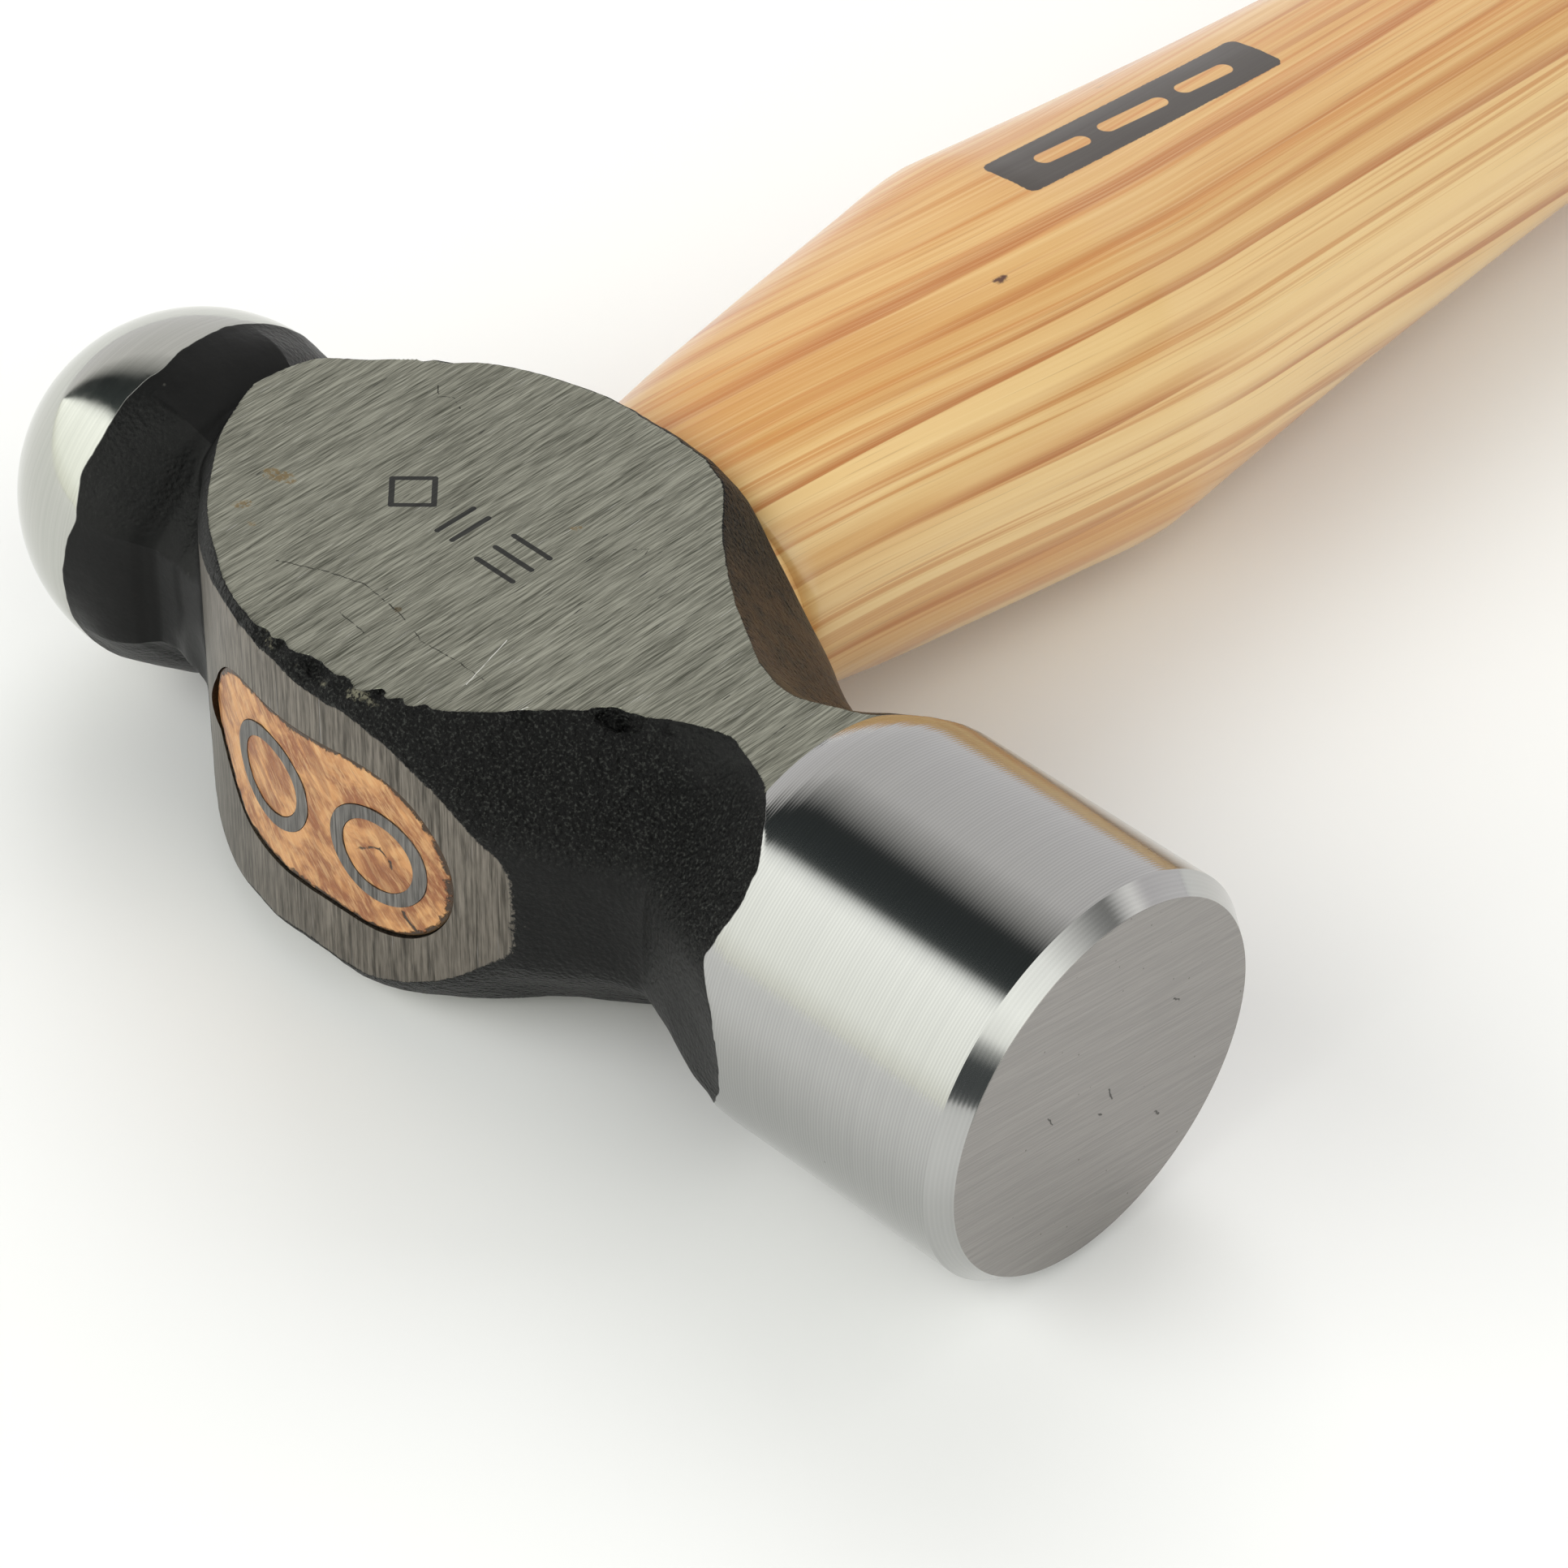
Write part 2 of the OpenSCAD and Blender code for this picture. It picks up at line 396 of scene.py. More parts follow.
def strokes(tree, at, marks, softness=0.05, ragged=0.0, raggedSize=1.0):
    # several strokes in one mask; each mark is start, end, half width
    if ragged:
        wobble = node(tree, "ShaderNodeTexNoise", {"Vector": at, "Scale": 1 / raggedSize, "Detail": 3.0})
        shift = node(tree, "ShaderNodeVectorMath", operation="SUBTRACT")
        feed(tree, shift.inputs[0], wobble.outputs["Color"])
        shift.inputs[1].default_value = (0.5, 0.5, 0.5)
        moved = node(tree, "ShaderNodeVectorMath", operation="MULTIPLY_ADD")
        feed(tree, moved.inputs[0], shift.outputs[0])
        moved.inputs[1].default_value = (ragged, ragged, ragged)
        feed(tree, moved.inputs[2], at)
        at = moved.outputs[0]
    total = None
    for start, end, halfWidth in marks:
        mask = useGroup(tree, stroke, {"Coordinates": at, "Start": start, "End": end, "HalfWidth": halfWidth,
                                       "Softness": softness})["Mask"]
        total = mask if total is None else larger(tree, total, mask)
    return total


# ---- head: the forging, and what grinding, turning and polishing cut from it ----

head = {
    "cheek": 14.9,                  # half thickness between the ground cheeks
    "cheekFrom": -28.6, "cheekTo": 35.6,
    "crest": 21.2, "crestX": 1.0,   # ground top of the barrel
    "wallLeft": 31.6, "wallRight": 53.5, "wallFrom": -20.3,
    "bevelFrom": 62.8, "faceX": headHigh.x / mm, "faceRadius": 16.1,
    "ballX": -35.2, "ball": -35.2 - headLow.x / mm - 0.001,
    "frontFacet": [
        (-31, 8), (-28.2, 10.8), (-27.3, 12.1), (-25, 15.1), (-22.3, 17.4), (-18.7, 20.1), (-14.7, 22.2),
        (-9.8, 24.2), (-4, 25.1), (0.8, 24.9), (4.8, 24.9), (8.4, 24.1), (11.9, 22.5), (14.5, 20.9),
        (18.5, 17.8), (22.1, 15.9), (26.2, 13.9), (28.8, 13.2), (29.4, 13.1), (30.5, 13.3), (33, 14.1),
        (36, 15.6), (38.8, 16.8), (40.1, 17.5), (44, 19.6), (66, 24)],
    "rearFacet": [
        (-31, 9.5), (-28.6, 11.5), (-28, 13.4), (-26.9, 15.6), (-24.1, 17.9), (-21.5, 19.9),
        (-18.4, 21.7), (-14.6, 23.0), (-10.3, 23.9), (-6.3, 24.5), (-0.9, 24.5), (3, 24.3), (7.1, 23.4),
        (8.4, 22.7), (11.5, 20.4), (16.5, 17.4), (22.2, 14.7), (25.4, 13.5), (29, 12.95), (30.5, 13.2),
        (33, 14.1), (36, 15.6), (38.8, 16.8), (40.1, 17.5), (44, 19.6), (66, 24)],
    "sideFacet": [
        (-31, 3), (-28, 6), (-24, 9.4), (-21.6, 11.9), (-20.3, 13.05), (-14, 18), (-8, 20.6), (0, 21.9),
        (8, 21.4), (14, 20.1), (18, 18.75), (20.2, 17.7), (22.5, 16.2), (25, 14.8), (27.5, 13.6),
        (28.8, 13.2), (29.4, 13.1), (30.5, 13.5), (33, 14.4), (36, 15.4), (38.8, 16.4), (41.8, 17.55),
        (46, 19.5), (66, 24)],
    "topFacet": [
        (-31, 10), (-29, 12), (-28.3, 14.8), (-27.6, 15.8), (0, 16), (30, 15.8), (36, 16.8), (40, 18),
        (66, 24)],
    "ballNeck": [
        (-52, 17), (-38, 16.3), (-36, 15.75), (-35, 15.4), (-34, 15.15), (-32.4, 14.7), (-31, 14.1),
        (-29.4, 13.1), (-28.4, 12.2), (-27.4, 11.6), (-26, 11.5), (-24, 11.9), (-22, 12.1), (-18, 10),
        (-10, 6), (66, 6)],
    "ridges": [(-52, 0.2), (-35, 0.3), (-31, 0.6), (-28, 0.9), (66, 1)],
    "turned": [
        (35.2, 16.0), (35.6, 16.15), (36.2, 16.45), (37, 16.8), (38.2, 17.2), (39.4, 17.43),
        (40.6, 17.499), (62.8, 17.499), (64.6, 16.1)],
    # where turning and polishing end, by angle in degrees from the ground top
    "turnedBorder": [
        (-180, 41.8), (-165, 40.4), (-157, 38.9), (-148, 39.7), (-135, 40.1), (-125, 38.9), (-118, 37.4),
        (-111, 35.4), (-69, 35.4), (-62, 37.2), (-53, 38.6), (-45, 39.3), (-36, 38.2), (-26, 39.9),
        (-16, 41.4), (-6, 42.0), (2, 41.7), (10, 40.9), (18, 39.6), (23, 38.8), (28, 39.3), (36, 39.9),
        (43, 40.1), (49, 39.8), (55, 38.9), (62, 37.4), (68, 35.4), (112, 35.4), (118, 37.4),
        (125, 38.9), (135, 40.0), (148, 39.6), (157, 38.8), (165, 40.0), (180, 41.8)],
    "polishBorder": [
        (-180, -35.1), (-150, -34.6), (-125, -35.3), (-95, -34.7), (-70, -35.4), (-50, -34.5),
        (-39, -34.6), (-30, -35.3), (-20, -35.5), (-7, -35.2), (5, -35.0), (14, -34.8), (22, -34.2),
        (29, -34.7), (36, -35.2), (52, -35.0), (62, -35.3), (70, -35.2), (76, -34.9), (86, -35.3),
        (97, -35.5), (111, -35.5), (133, -35.0), (155, -35.5), (180, -35.1)],
    # chips along the front border of the cheek: place along the head, angle, size, depth
    "chips": [
        (-7.3, 35.6, 0.5, 0.3), (-4.5, 35.8, 0.7, 0.5), (-2.6, 36.2, 0.6, 0.5), (0.6, 36.0, 1.0, 0.7),
        (2.2, 35.9, 0.8, 0.6), (4.2, 36.9, 0.9, 0.5), (6.9, 38.0, 0.8, 0.7), (8.7, 39.4, 0.5, 0.4),
        (10.6, 41.0, 0.5, 0.35), (16.4, 49.0, 0.5, 0.35), (21.6, 61.5, 1.1, 1.5), (20.4, 60.0, 0.7, 0.9),
        (22.8, 64.5, 0.6, 0.5), (25.0, 68.5, 0.5, 0.35), (-13, 34.8, 0.5, 0.25)],
}
profiles = {name: curveThrough(head[name]) for name in
            ("frontFacet", "rearFacet", "sideFacet", "topFacet", "ballNeck", "ridges")}


def wallAt(x):
    # ground top and underside of the barrel, an arc on either side of the crest
    dx = x - head["crestX"]
    arc = np.where(dx < 0, head["wallLeft"], head["wallRight"])
    return head["crest"] - arc + np.sqrt(np.maximum(arc ** 2 - dx ** 2, 1))


def turnedAt(x):
    px, py = np.array(head["turned"]).T
    return np.interp(x, px, py)


def borderAt(name, angle):
    px, py = np.array(head[name]).T
    turn = np.degrees(np.arctan2(np.sin(angle), np.cos(angle)))
    return sum(np.interp(turn + d, px, py, period=360) for d in (-1.2, 0, 1.2)) / 3


def bordersAt(angle):
    around = np.stack([0 * angle, 17 * np.cos(angle), 17 * np.sin(angle)], -1)
    turnedRough = 0.10 * lumps(around, 1.1, 21) + 0.05 * lumps(around, 0.4, 22)
    polishRough = 0.12 * lumps(around, 2.0, 23) + 0.05 * lumps(around, 0.6, 24)
    return borderAt("turnedBorder", angle) + turnedRough, borderAt("polishBorder", angle) + polishRough


def ballAt(x):
    return np.sqrt(np.maximum(head["ball"] ** 2 - (x - head["ballX"]) ** 2, 0))


def skinAt(x, angle):
    # the bare shape of the forging, without its grain
    c, s = np.abs(np.cos(angle)), np.abs(np.sin(angle))
    facet = np.where(np.cos(angle) > 0, profiles["frontFacet"](x), profiles["rearFacet"](x))
    barrel = softMin([profiles["sideFacet"](x) / np.maximum(c, 1e-3),
                      facet * math.sqrt(2) / (c + s),
                      profiles["topFacet"](x) / np.maximum(s, 1e-3)], 26)
    flat = np.maximum(np.maximum(c, s), (c + s) / math.sqrt(2))
    neck = profiles["ballNeck"](x) * (1 + profiles["ridges"](x) * (1 / flat - 1))
    return softMax([barrel, neck], 26)


def forgedAt(x, angle, rough=True):
    # the black skin before any grinding; angle 0 is the ground top (-Y), 90 a cheek (+Z)
    r = skinAt(x, angle)
    # it meets the turned poll and the polished ball exactly along their borders
    turnedEnd, polishEnd = bordersAt(angle)
    poll = (turnedAt(turnedEnd) - skinAt(turnedEnd, angle)) * np.clip((x - turnedEnd) / 4.5 + 1, 0, 1) ** 2
    ball = (ballAt(polishEnd) - skinAt(polishEnd, angle)) * np.clip((polishEnd - x) / 5 + 1, 0, 1) ** 2
    r = r + np.where(x > 20, poll, 0) + np.where(x < -20, ball, 0)
    r = np.where(x > turnedEnd, turnedAt(x) + 0.45 * (x - turnedEnd), r)
    r = np.where(x < polishEnd, ballAt(x) + 0.45 * (polishEnd - x), r)
    if rough:
        at = np.stack([x, 18 * np.cos(angle), 18 * np.sin(angle)], -1)
        c, s = np.abs(np.cos(angle)), np.abs(np.sin(angle))
        clear = np.clip(np.minimum(turnedEnd - x, x - polishEnd) / 2.5, 0, 1)
        grainy = np.clip((np.minimum(c, s) - 0.35) * 5, 0.25, 1) * np.clip((x + 12) / 10, 0.3, 1)
        r = r + clear * (0.10 * lumps(at, 6.5, 1) + 0.05 * lumps(at, 2.1, 2))
        r = r + clear * grainy * (0.045 * lumps(at, 0.9, 3) + 0.03 * lumps(at, 0.55, 4))
        for place, degrees, size, depth in head["chips"]:
            away = np.hypot(x - place, (angle - math.radians(degrees)) * 24)
            r = r - depth * np.exp(-(away / size) ** 2) * (1 + 0.6 * lumps(at, 0.7, 5))
    return r


def limitsAt(x, angle):
    # radius that each way of working leaves; far where it isn't used
    far = 99.0
    c, s = np.abs(np.cos(angle)), np.abs(np.sin(angle))
    cheek = np.where((x > head["cheekFrom"]) & (x < head["cheekTo"]),
                     head["cheek"] / np.maximum(s, 1e-3), far)
    wall = np.where((x > head["wallFrom"]) & (x < 26), wallAt(x) / np.maximum(c, 1e-3), far)
    turnedEnd, polishEnd = bordersAt(angle)
    poll = np.where(x > turnedEnd, turnedAt(x), far)
    ball = np.where(x < polishEnd, ballAt(x), far)
    return {"cheekField": cheek, "wallField": wall, "pollField": poll, "ballField": ball}


def borderAngle(x, rear, wantCheek):
    # angle where the forging leaves the ground cheek, or the ground wall
    low, high = (math.radians(25), math.radians(88)) if wantCheek else (math.radians(4), math.radians(50))
    low, high = np.full_like(x, low), np.full_like(x, high)
    for step in range(26):
        mid = (low + high) / 2
        turn = math.pi - mid if rear else mid
        r = forgedAt(x, turn, rough=False)
        if wantCheek:
            past = r * np.sin(mid) > head["cheek"]
        else:
            past = r * np.cos(mid) < wallAt(x)
        high = np.where(past, mid, high)
        low = np.where(past, low, mid)
    return (low + high) / 2


def headStations():
    dome = head["ballX"] - head["ball"] * np.cos(np.radians(np.linspace(3, 88, 60)))
    spans = [(-35.1, -29.2, 0.25), (-29.2, -27.2, 0.12), (-27.2, -18, 0.25), (-18, 8, 0.35),
             (8, 35.4, 0.25), (35.7, 42.6, 0.25), (43, 62.4, 0.7)]
    inner = [np.arange(a, b, step) for a, b, step in spans]
    exact = [35.58, 35.62, 62.6, head["bevelFrom"], 63.1, 63.8, 64.4, head["faceX"]]
    return np.unique(np.round(np.concatenate([dome, *inner, exact]), 4))


def headAngles(x):
    # columns of the mesh follow the ridges, so that ground borders stay crisp
    columns = (26, 46, 44)      # over the side, the slanted facet and the cheek, in a quarter turn
    near = np.clip((x + 20.3) / 6, 0, 1) * np.clip((19.5 - x) / 4, 0, 1)
    onCheek = np.clip((x + 27.9) / 2.5, 0, 1) * np.clip((36.5 - x) / 5, 0, 1)
    ridge = math.radians(22.5)
    quarters = []
    for rear in (False, True):
        facet = profiles["rearFacet" if rear else "frontFacet"](x)
        side = profiles["sideFacet"](x)
        natural = np.arctan2(np.clip(math.sqrt(2) * facet - side, 3, 20), side)
        natural = ridge + (natural - ridge) * np.clip((x + 27) / 5, 0, 1) * np.clip((46 - x) / 6, 0, 1)
        first = natural + (borderAngle(x, rear, False) - natural) * near
        second = 3 * ridge + (borderAngle(x, rear, True) - 3 * ridge) * onCheek
        marks = [0 * x, np.clip(first, 0.12, 0.9), np.clip(second, 0.95, 1.50), 0 * x + math.pi / 2]
        quarters.append([marks[i] + (marks[i + 1] - marks[i]) * t
                         for i, count in enumerate(columns) for t in np.arange(count) / count])
    front, rear = quarters
    half = front + [math.pi / 2 + 0 * x] + [math.pi - a for a in reversed(rear)]
    other = [-a for a in reversed(half[1:-1])]
    return np.stack(half + other, -1)


def ringPoints(x, angle, r):
    return np.stack([x + 0 * angle, -r * np.cos(angle), r * np.sin(angle)], -1)


# outline of the eye on the ground top: angle from the face side towards +Z, and radius
eye = {"middle": (0.4, 0.6), "outline": [
        (-180, 14.7), (-170, 13.5), (-160, 12.3), (-150, 11.8), (-141, 11.5), (-129, 10.2), (-116, 9.2),
        (-96, 8.25), (-76, 8.35), (-60, 9.4), (-50, 10.9), (-41, 12.2), (-28, 13.9), (-12, 14.95),
        (0, 14.95), (10, 14.6), (25, 13.6), (35, 12.8), (43, 11.8), (53, 10.4), (70, 8.6), (86, 7.95),
        (103, 8.0), (117, 8.7), (129, 10.0), (136, 11.2), (148, 12.7), (160, 13.5), (170, 14.2),
        (180, 14.7)]}


def eyePoints(angle, inset=0.0, share=1.0):
    px, py = np.array(eye["outline"]).T
    r = sum(np.interp(np.degrees(angle) + d, px, py, period=360) for d in range(-7, 8)) / 15
    r = (r - inset) * share
    return eye["middle"][0] + r * np.cos(angle), eye["middle"][1] + r * np.sin(angle)


def eyeCutter():
    px, pz = eyePoints(np.radians(np.arange(0, 360, 2)))
    rings = [np.stack([px, 0 * px + y, pz], -1) for y in (-40, -10, 10, 40)]
    return skinRings("eyeCutter", rings, (0, -40, 0), (0, 40, 0))


def buildHead():
    x = headStations()
    angles = headAngles(x)
    xx = np.repeat(x[:, None], angles.shape[1], 1)
    r = forgedAt(xx, angles)
    for limit in limitsAt(xx, angles).values():
        r = np.minimum(r, limit)
    rings = [ringPoints(xx[k], angles[k], r[k]) for k in range(len(x))]
    for share in np.linspace(0.95, 0.05, 19):   # the flat face, ring by ring
        rings.append(ringPoints(xx[-1], angles[-1], head["faceRadius"] * share + 0 * r[-1]))
    piece = skinRings("forged_head", rings, (head["ballX"] - head["ball"], 0, 0), (head["faceX"], 0, 0))
    cutWith(piece, eyeCutter())
    at = pointsOf(piece)
    place, angle = at[:, 0], np.arctan2(at[:, 2], -at[:, 1])
    limits = limitsAt(place, angle)
    limits["forgedField"] = forgedAt(place, angle)
    turnedEnd, polishEnd = bordersAt(angle)
    storeValue(piece, "pollField", np.clip(0.45 * (place - turnedEnd), -4, 4))
    storeValue(piece, "ballField", np.clip(0.45 * (polishEnd - place), -4, 4))
    for name in ("cheekField", "wallField"):
        others = np.min([v for k, v in limits.items() if k != name], axis=0)
        storeValue(piece, name, np.clip(others - limits[name], -4, 4))
    inside = np.hypot(at[:, 1], at[:, 2]) < np.min(list(limits.values()), axis=0) - 0.3
    storeValue(piece, "eyeWall", inside & (place < 20) & (place > -20))
    smoothExcept(piece, 28)
    return piece


forgedHead = buildHead()
print("head built:", len(forgedHead.data.vertices), "points")

# ---- handle: tenon, shoulder, swell, waist and grip ----

handle = {
    "butt": butt, "shoulder": 21.3, "columns": 192, "gap": 0.16,
    "halfWidth": [
        (21, 14.7), (23.5, 15.0), (32, 16.2), (56, 18.95), (60.5, 19.45), (63, 19.6), (66, 19.35),
        (71, 18.9), (92, 17.15), (122, 15.35), (170, 13.6), (224, 14.0), (304, 16.5), (356, 17.0),
        (362, 17.0)],
    "halfThick": [
        (21, 11.2), (23.5, 11.5), (32, 13.0), (56, 16.2), (60.5, 16.75), (63, 16.9), (66, 16.7),
        (71, 16.3), (92, 14.75), (122, 13.2), (170, 11.7), (224, 12.0), (304, 14.2), (356, 14.6),
        (362, 14.6)],
}
wedges = {"outer": 4.7, "wall": 1.25, "tip": 0.4, "depth": 14.0}
wedgeCentres = {"ring_wedge_face_side": (8.15, 0.2), "ring_wedge_ball_side": (-3.9, 0.9)}


def wedgeRings(centre, swell, above):
    # outer skin down, then inner skin up, of one tapered tube
    angle = np.radians(np.arange(0, 360, 3))
    along = np.stack([np.cos(angle), 0 * angle, np.sin(angle)], -1)
    wobble = 1 + 0.012 * np.sin(2 * angle + centre[0]) + 0.006 * np.sin(3 * angle)
    outer = wedges["outer"] + swell
    profile = [(outer, above), (outer, 0.3), (outer - 0.05, 6), (outer - 0.12, wedges["depth"]),
               (outer - wedges["tip"] - 2 * swell, wedges["depth"]), (outer - 0.9 - 2 * swell, 6),
               (outer - wedges["wall"] - 2 * swell, 0.3), (outer - wedges["wall"] - 2 * swell, above)]
    rings = []
    for radius, depth in profile:
        ring = along * (radius * wobble)[:, None] + [centre[0], 0, centre[1]]
        ring[:, 1] = depth - (wallAt(ring[:, 0]) if above >= 0 else head["crest"])
        rings.append(ring)
    return rings


def tube(name, rings):
    count = len(rings[0])
    faces = []
    for r in range(len(rings)):
        a, b = r * count, (r + 1) % len(rings) * count
        faces += [(a + k, b + k, b + (k + 1) % count, a + (k + 1) % count) for k in range(count)]
    return meshObject(name, (np.concatenate(rings) * mm).tolist(), faces)


def buildHandle():
    angle = np.linspace(0, 2 * math.pi, handle["columns"], endpoint=False)
    c, s = np.cos(angle), np.sin(angle)
    width, thick = curveThrough(handle["halfWidth"]), curveThrough(handle["halfThick"])
    gap = handle["gap"] + 0.10 * lumps(np.stack([9 * c, 0 * c, 9 * s], -1), 3.0, 31)
    tenonX, tenonZ = eyePoints(angle, gap)
    rings = []
    for share in np.linspace(0.04, 1, 44):       # end grain, flush with the ground top
        px, pz = eyePoints(angle, gap, share)
        at = np.stack([px, 0 * px, pz], -1)
        relief = 0.05 * lumps(at, 1.6, 7) + 0.03 * lumps(at, 0.6, 8) + 0.10 + 0.15 * (share > 0.985)
        rings.append(np.stack([px, relief - wallAt(px), pz], -1))
    for y in (-18, -10, 0, 10, 17, 20.2):
        rings.append(np.stack([tenonX, y + 0 * c, tenonZ], -1))
    start, end = handle["shoulder"], handle["butt"]
    lift = np.array([0, 0.2, 0.5, 0.9, 1.4, 2.0])
    dome = end - 6 + 6 * np.sin(np.radians(np.arange(10, 91, 10)))
    for y in np.concatenate([start + lift, np.arange(start + 3, end - 6, 1.5), dome]):
        power = 2.25
        a, b = width(y), thick(y)
        r = ((np.abs(c) / a) ** power + (np.abs(s) / b) ** power) ** (-1 / power)
        over = max(y - end + 6, 0) / 6
        r = r * (1 - 0.26 * (1 - math.sqrt(1 - min(over, 1) ** 2)))
        under = min((y - start) / 2.0, 1)
        r = r * (0.94 + 0.06 * math.sqrt(1 - (1 - under) ** 2))
        at = np.stack([r * c, y + 0 * c, r * s], -1)
        if start + 3 < y < end - 7:
            r = r - 0.05 + 0.05 * lumps(at * [1, 0.12, 1], 3.0, 11) + 0.03 * lumps(at * [1, 0.3, 1], 1.2, 12)
        rings.append(np.stack([r * c, y + 0 * c, r * s], -1))
    for share in (0.97, 0.9, 0.7, 0.45, 0.2):
        rings.append(np.stack([r * share * c, end + 0 * c, r * share * s], -1))
    piece = skinRings("ash_handle", rings, (0, -head["crest"], 0), (0, end, 0))
    for centre in wedgeCentres.values():
        cutWith(piece, tube("groove", wedgeRings(centre, 0.05, -3.0)))
    at = pointsOf(piece)
    ending = np.clip((at[:, 1] + wallAt(at[:, 0]) - 0.2) * -1.2 + 1, 0, 1) * (at[:, 1] < -14)
    storeValue(piece, "endGrain", ending)
    # rim rises towards the eye's outline; it places the painted gap shade on the end grain
    away, up = at[:, 0] - eye["middle"][0], at[:, 2] - eye["middle"][1]
    edgeX, edgeZ = eyePoints(np.arctan2(up, away))
    edge = np.hypot(edgeX - eye["middle"][0], edgeZ - eye["middle"][1])
    storeValue(piece, "rim", np.clip((np.hypot(away, up) - edge + 1.3) / 1.1, 0, 1))
    smoothExcept(piece, 40)
    return piece


ashHandle = buildHandle()
ringWedges = {}
for name, centre in wedgeCentres.items():
    ringWedges[name] = tube("steel_" + name, wedgeRings(centre, 0.0, 0.02))
    smoothExcept(ringWedges[name], 30)
print("handle and ring wedges built:", len(ashHandle.data.vertices), "points")

# ---- materials ----

headMarks = {
    # a plain printed diamond and bars on the upper cheek
    "stamp": [
        ((-9.0, -2.6), (-6.6, -0.2)), ((-6.6, -0.2), (-9.0, 2.2)), ((-9.0, 2.2), (-11.4, -0.2)),
        ((-11.4, -0.2), (-9.0, -2.6)), ((-4.1, -2.2), (-4.1, 1.7)), ((-2.4, -2.2), (-2.4, 1.7)),
        ((0.6, -2.4), (4.6, -2.4)), ((0.6, -0.4), (4.6, -0.4)), ((0.6, 1.6), (4.6, 1.6))],
    "scratches": [
        ((-10.2, -13.6), (-6.6, -11.8)), ((-6.6, -11.8), (-3.2, -10.7)), ((-3.2, -10.7), (1.2, -11.2)),
        ((1.2, -11.2), (4.9, -12.3)), ((4.9, -12.3), (8.6, -12.0)), ((8.6, -12.0), (11.9, -12.1)),
        ((-17.6, 10.6), (-16.6, 9.6)), ((-16.6, 9.6), (-15.5, 10.4)), ((-15.5, 10.4), (-14.2, 9.8)),
        ((8.4, 7.0), (9.2, 7.9)), ((9.2, 7.9), (9.6, 6.9)), ((-2.0, -14.4), (1.6, -14.8))],
    "bright": [((11.0, -13.4), (9.4, -7.6)), ((16.2, -11.9), (16.0, -12.7))],
    "rust": [
        ((-18.6, -6.6), (-17.2, -6.1), 0.55), ((-17.4, -11.0), (-17.1, -10.6), 0.40),
        ((-15.0, -11.9), (-14.9, -11.8), 0.18), ((3.2, 5.5), (3.5, 5.9), 0.16)],
    "face": [
        ((0.7, -0.6), (1.1, -1.8), 0.05), ((-0.4, -2.3), (0.1, -2.8), 0.04),
        ((6.4, -6.8), (6.9, -7.5), 0.05), ((7.6, 4.1), (8.2, 3.5), 0.03),
        ((-6.1, 1.2), (-5.6, 0.2), 0.02)],
    "flakes": [
        ((-4.6, -20.4), (-3.0, -20.9), 0.35), ((0.0, -20.9), (2.6, -20.9), 0.55),
        ((4.6, -20.5), (7.2, -19.6), 0.35)],
}


def onCheek(marks):
    return [((*a, head["cheek"]), (*b, head["cheek"]), *rest) for a, b, *rest in marks]


def paintFinish(tree, at):
    # black paint over leathery forging, smoother on the side facets
    x, y, z = axes(tree, at)
    cells = node(tree, "ShaderNodeTexVoronoi", {"Vector": at, "Scale": 2.3, "Randomness": 1.0},
                 feature="SMOOTH_F1").outputs["Distance"]
    leather = plus(tree, cells, times(tree, noise(tree, at, 3.6, 3.0, 0.65), 0.9))
    facing = calc(tree, "MINIMUM", calc(tree, "ABSOLUTE", y), calc(tree, "ABSOLUTE", z))
    rough = times(tree, fade(tree, facing, 4.5, 8.5, (0.14, 1)), fade(tree, x, -18, -4, (0.16, 1)))
    uneven = noise(tree, at, 0.35, 3.0, 0.6)
    tone = blendColour(tree, uneven, (0.0040, 0.0043, 0.0042), (0.009, 0.009, 0.009))
    # painted highlight: the raised pimples of the leathery grain are painted lighter, standing in for glints
    # of light on them
    painted_pimple_glints = fade(tree, noise(tree, at, 4.2, 2.0, 0.6), 0.50, 0.72)
    tone = blendColour(tree, times(tree, painted_pimple_glints, rough), tone, (0.046, 0.048, 0.044))
    # painted reflection: a brown tint on the black paint of the neck, on the handle side, stands in for the
    # wood reflected there
    painted_wood_reflection = times(tree, fade(tree, x, 12, 17), fade(tree, y, 3, 6))
    painted_wood_reflection = times(tree, painted_wood_reflection, fade(tree, noise(tree, at, 0.5, 4.0, 0.7), 0.3, 0.65))
    tone = blendColour(tree, painted_wood_reflection, tone, (0.060, 0.036, 0.020))
    dust = useGroup(tree, specks, {"Coordinates": at, "Spacing": 2.6, "Amount": 0.08})["Mask"]
    tone = tint(tree, tone, dust, 0.25, (0.15, 0.145, 0.13))
    flakes = strokes(tree, at, onCheek(headMarks["flakes"]), 0.35, 0.8, 0.5)
    flakes = times(tree, flakes, fade(tree, noise(tree, at, 3.0, 3.0, 0.7), 0.42, 0.55))
    tone = blendColour(tree, flakes, tone, (0.21, 0.20, 0.145))
    return tone, 0.40, times(tree, times(tree, leather, rough), 0.60)


